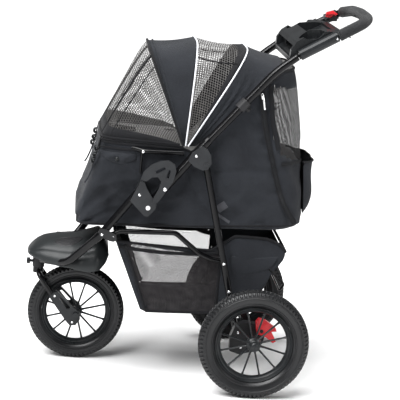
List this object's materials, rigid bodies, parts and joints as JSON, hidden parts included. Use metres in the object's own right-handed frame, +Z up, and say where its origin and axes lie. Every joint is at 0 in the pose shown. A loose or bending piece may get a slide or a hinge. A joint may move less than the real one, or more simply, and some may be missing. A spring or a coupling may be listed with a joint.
{
  "type": "pet stroller",
  "caption": "Pet stroller with a folding tube frame, cloth cabin, net canopy, console, basket and swivel front wheel.",
  "frame": {"origin": "middle of the footprint, on the ground", "axes": "+Z up; -X is the front, where the swivel wheel is; +X the handle end; -Y the stroller's left side"},
  "size_m": [0.9032, 0.633, 1.062],
  "materials": {
    "black_steel": "gloss black powder coat",
    "grey_steel": "satin grey paint",
    "bright_steel": "bright plating",
    "black_plastic": "fine-grained moulded black",
    "tyre_rubber": "matt, moulded tread",
    "red_plastic": "glossy red",
    "grip_foam": "ribbed soft foam",
    "charcoal_fabric": "plain woven polyester",
    "pad_fabric": "quilted pad",
    "grey_netting": "open netting"
  },
  "bodies": {
    "upper_frame": {"upper_tube_left": "black_steel", "upper_tube_right": "black_steel", "tube_clamp_left": "grey_steel", "tube_clamp_right": "grey_steel", "elbow_pin_left": "bright_steel", "elbow_pin_right": "bright_steel", "hinge_plate_left": "grey_steel", "hinge_plate_right": "grey_steel", "cabin_shell": "charcoal_fabric", "floor_board": "black_plastic", "floor_pad": "pad_fabric", "rear_pocket": "charcoal_fabric", "cabin_hoop": "black_steel", "canopy_bow_rear": "black_steel", "canopy_front": "charcoal_fabric", "canopy_mesh": "grey_netting", "canopy_rear": "charcoal_fabric", "console_tray": "black_plastic", "handle_bar": "black_steel", "foam_grip": "grip_foam", "trigger_mount": "black_plastic", "basket": "grey_netting"},
    "front_frame": {"elbow_bracket_left": "grey_steel", "elbow_bracket_right": "grey_steel", "front_tube_left": "black_steel", "front_tube_right": "black_steel", "rail_bracket_left": "grey_steel", "rail_bracket_right": "grey_steel", "footrest": "black_plastic", "steering_head": "black_plastic"},
    "rear_frame": {"rear_leg_left": "black_steel", "rear_leg_right": "black_steel", "wheel_bracket_left": "black_plastic", "wheel_bracket_right": "black_plastic", "axle_beam": "black_steel"},
    "rails": {"side_rail_left": "black_steel", "side_rail_right": "black_steel"},
    "fork": {"fork_crown": "black_steel", "fork_arm_left": "black_plastic", "fork_arm_right": "black_plastic", "front_axle": "bright_steel"},
    "front_wheel_set": {"front_tyre": "tyre_rubber", "front_wheel": "black_plastic"},
    "rear_wheel_set_left": {"rear_tyre_left": "tyre_rubber", "rear_wheel_left": "black_plastic", "hub_cap_left": "black_plastic"},
    "rear_wheel_set_right": {"rear_tyre_right": "tyre_rubber", "rear_wheel_right": "black_plastic", "hub_cap_right": "black_plastic"},
    "brake_left": {"brake_pedal_left": "red_plastic"},
    "brake_right": {"brake_pedal_right": "red_plastic"},
    "latch_left": {"latch_lever_left": "grey_steel"},
    "latch_right": {"latch_lever_right": "grey_steel"},
    "swivel_knob": {"swivel_lock_knob": "black_plastic"},
    "trigger": {"handle_trigger": "red_plastic"},
    "front_bow": {"canopy_bow_front": "black_steel", "canopy_hood": "grey_netting"},
    "middle_bow": {"canopy_bow_middle": "black_steel"}
  },
  "joints": [
    {"name": "frame_fold", "type": "hinge", "parent": "upper_frame", "child": "front_frame", "pos_m": [-0.12956, 0, 0.496], "axis": [0, -1, 0], "range_deg": [0, 75], "deforming": ["basket"]},
    {"name": "leg_fold", "type": "hinge", "parent": "upper_frame", "child": "rear_frame", "pos_m": [0.01944, 0, 0.625], "axis": [0, -1, 0], "range_deg": [0, 37]},
    {"name": "rail_fold", "type": "hinge", "parent": "front_frame", "child": "rails", "pos_m": [-0.21756, 0, 0.406], "axis": [0, -1, 0], "range_deg": [-53, 0]},
    {"name": "caster_swivel", "type": "hinge", "parent": "front_frame", "child": "fork", "pos_m": [-0.41756, 0, 0.26], "axis": [0, 0, 1], "continuous": true},
    {"name": "front_wheel_spin", "type": "hinge", "parent": "fork", "child": "front_wheel_set", "pos_m": [-0.30256, 0, 0.138], "axis": [0, 1, 0], "continuous": true},
    {"name": "rear_wheel_spin_left", "type": "hinge", "parent": "rear_frame", "child": "rear_wheel_set_left", "pos_m": [0.18244, -0.28, 0.1525], "axis": [0, 1, 0], "continuous": true},
    {"name": "rear_wheel_spin_right", "type": "hinge", "parent": "rear_frame", "child": "rear_wheel_set_right", "pos_m": [0.18244, 0.28, 0.1525], "axis": [0, 1, 0], "continuous": true},
    {"name": "brake_press_left", "type": "hinge", "parent": "rear_frame", "child": "brake_left", "pos_m": [0.20644, -0.235, 0.178], "axis": [0, 1, 0], "range_deg": [0, 22]},
    {"name": "brake_press_right", "type": "hinge", "parent": "rear_frame", "child": "brake_right", "pos_m": [0.20644, 0.235, 0.178], "axis": [0, 1, 0], "range_deg": [0, 22]},
    {"name": "latch_lift_left", "type": "hinge", "parent": "upper_frame", "child": "latch_left", "pos_m": [-0.08756, -0.212, 0.551], "axis": [0, 1, 0], "range_deg": [0, 35]},
    {"name": "latch_lift_right", "type": "hinge", "parent": "upper_frame", "child": "latch_right", "pos_m": [-0.08756, 0.212, 0.551], "axis": [0, 1, 0], "range_deg": [0, 35]},
    {"name": "swivel_lock_turn", "type": "hinge", "parent": "front_frame", "child": "swivel_knob", "pos_m": [-0.43756, 0, 0.277], "axis": [1, 0, 0], "range_deg": [0, 90]},
    {"name": "trigger_squeeze", "type": "hinge", "parent": "upper_frame", "child": "trigger", "pos_m": [0.39144, 0.163, 1.025], "axis": [0, -1, 0], "range_deg": [0, 8], "stiffness_Nm_per_rad": 0.4},
    {"name": "canopy_open", "type": "hinge", "parent": "upper_frame", "child": "front_bow", "pos_m": [-0.03856, 0, 0.652], "axis": [0, 1, 0], "range_deg": [0, 40], "deforming": ["canopy_front", "canopy_mesh"]},
    {"name": "canopy_middle_follow", "type": "hinge", "parent": "upper_frame", "child": "middle_bow", "pos_m": [-0.03856, 0, 0.652], "axis": [0, 1, 0], "range_deg": [0, 18]}
  ],
  "couplings": [
    {"joint": "leg_fold", "follows": "frame_fold", "ratio": 0.49},
    {"joint": "rail_fold", "follows": "frame_fold", "ratio": -0.7},
    {"joint": "canopy_middle_follow", "follows": "canopy_open", "ratio": 0.45}
  ]
}
